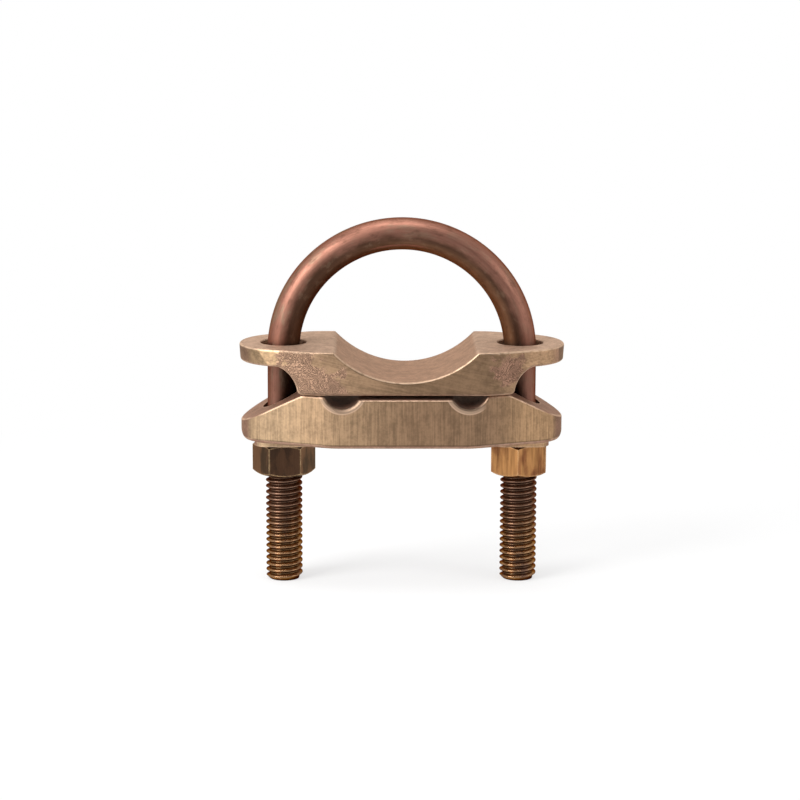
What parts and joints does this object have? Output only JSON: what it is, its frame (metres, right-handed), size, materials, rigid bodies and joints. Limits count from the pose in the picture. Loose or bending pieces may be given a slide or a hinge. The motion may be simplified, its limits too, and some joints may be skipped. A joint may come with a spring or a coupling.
{
  "type": "earthing pipe clamp",
  "caption": "Pipe earthing clamp: a U-bolt pulls a curved cast saddle against a pipe, and a grooved cast keeper, drawn up by the nuts, traps earth cables under the saddle.",
  "frame": {"origin": "centre of the U-bolt's half-circle bend, on the axis of a pipe that fills the bend", "axes": "+Z from the origin to the top of the bend, with the threaded legs pointing down -Z; +Y along the pipe; +X across the clamp, from the left leg to the right leg of the picture"},
  "size_m": [0.0836, 0.0332, 0.0947],
  "materials": {
    "rod": "satin, tarnished copper alloy",
    "casting": "as cast bronze, ground at the front and worn bright along the edges",
    "nut": "satin, worn bright at the corners"
  },
  "bodies": {
    "u_bolt": {"u_bolt": "rod"},
    "keeper": {"keeper": "casting"},
    "saddle": {"saddle": "casting"},
    "nut_left": {"nut_left": "nut"},
    "nut_right": {"nut_right": "nut"}
  },
  "joints": [
    {"name": "keeper_slide", "type": "slide", "parent": "u_bolt", "child": "keeper", "axis": [0, 0, 1], "range_m": [-0.027, 0.003]},
    {"name": "saddle_slide", "type": "slide", "parent": "keeper", "child": "saddle", "axis": [0, 0, 1], "range_m": [0, 0.003]},
    {"name": "nut_left_spin", "type": "hinge", "parent": "keeper", "child": "nut_left", "pos_m": [-0.03045, 0, -0.02775], "axis": [0, 0, 1], "range_deg": [-6130, 690]},
    {"name": "nut_right_spin", "type": "hinge", "parent": "keeper", "child": "nut_right", "pos_m": [0.03045, 0, -0.02775], "axis": [0, 0, 1], "range_deg": [-6130, 690]}
  ],
  "couplings": [
    {"joint": "nut_left_spin", "follows": "keeper_slide", "rad_per_m": 3957.9},
    {"joint": "nut_right_spin", "follows": "keeper_slide", "rad_per_m": 3957.9}
  ]
}
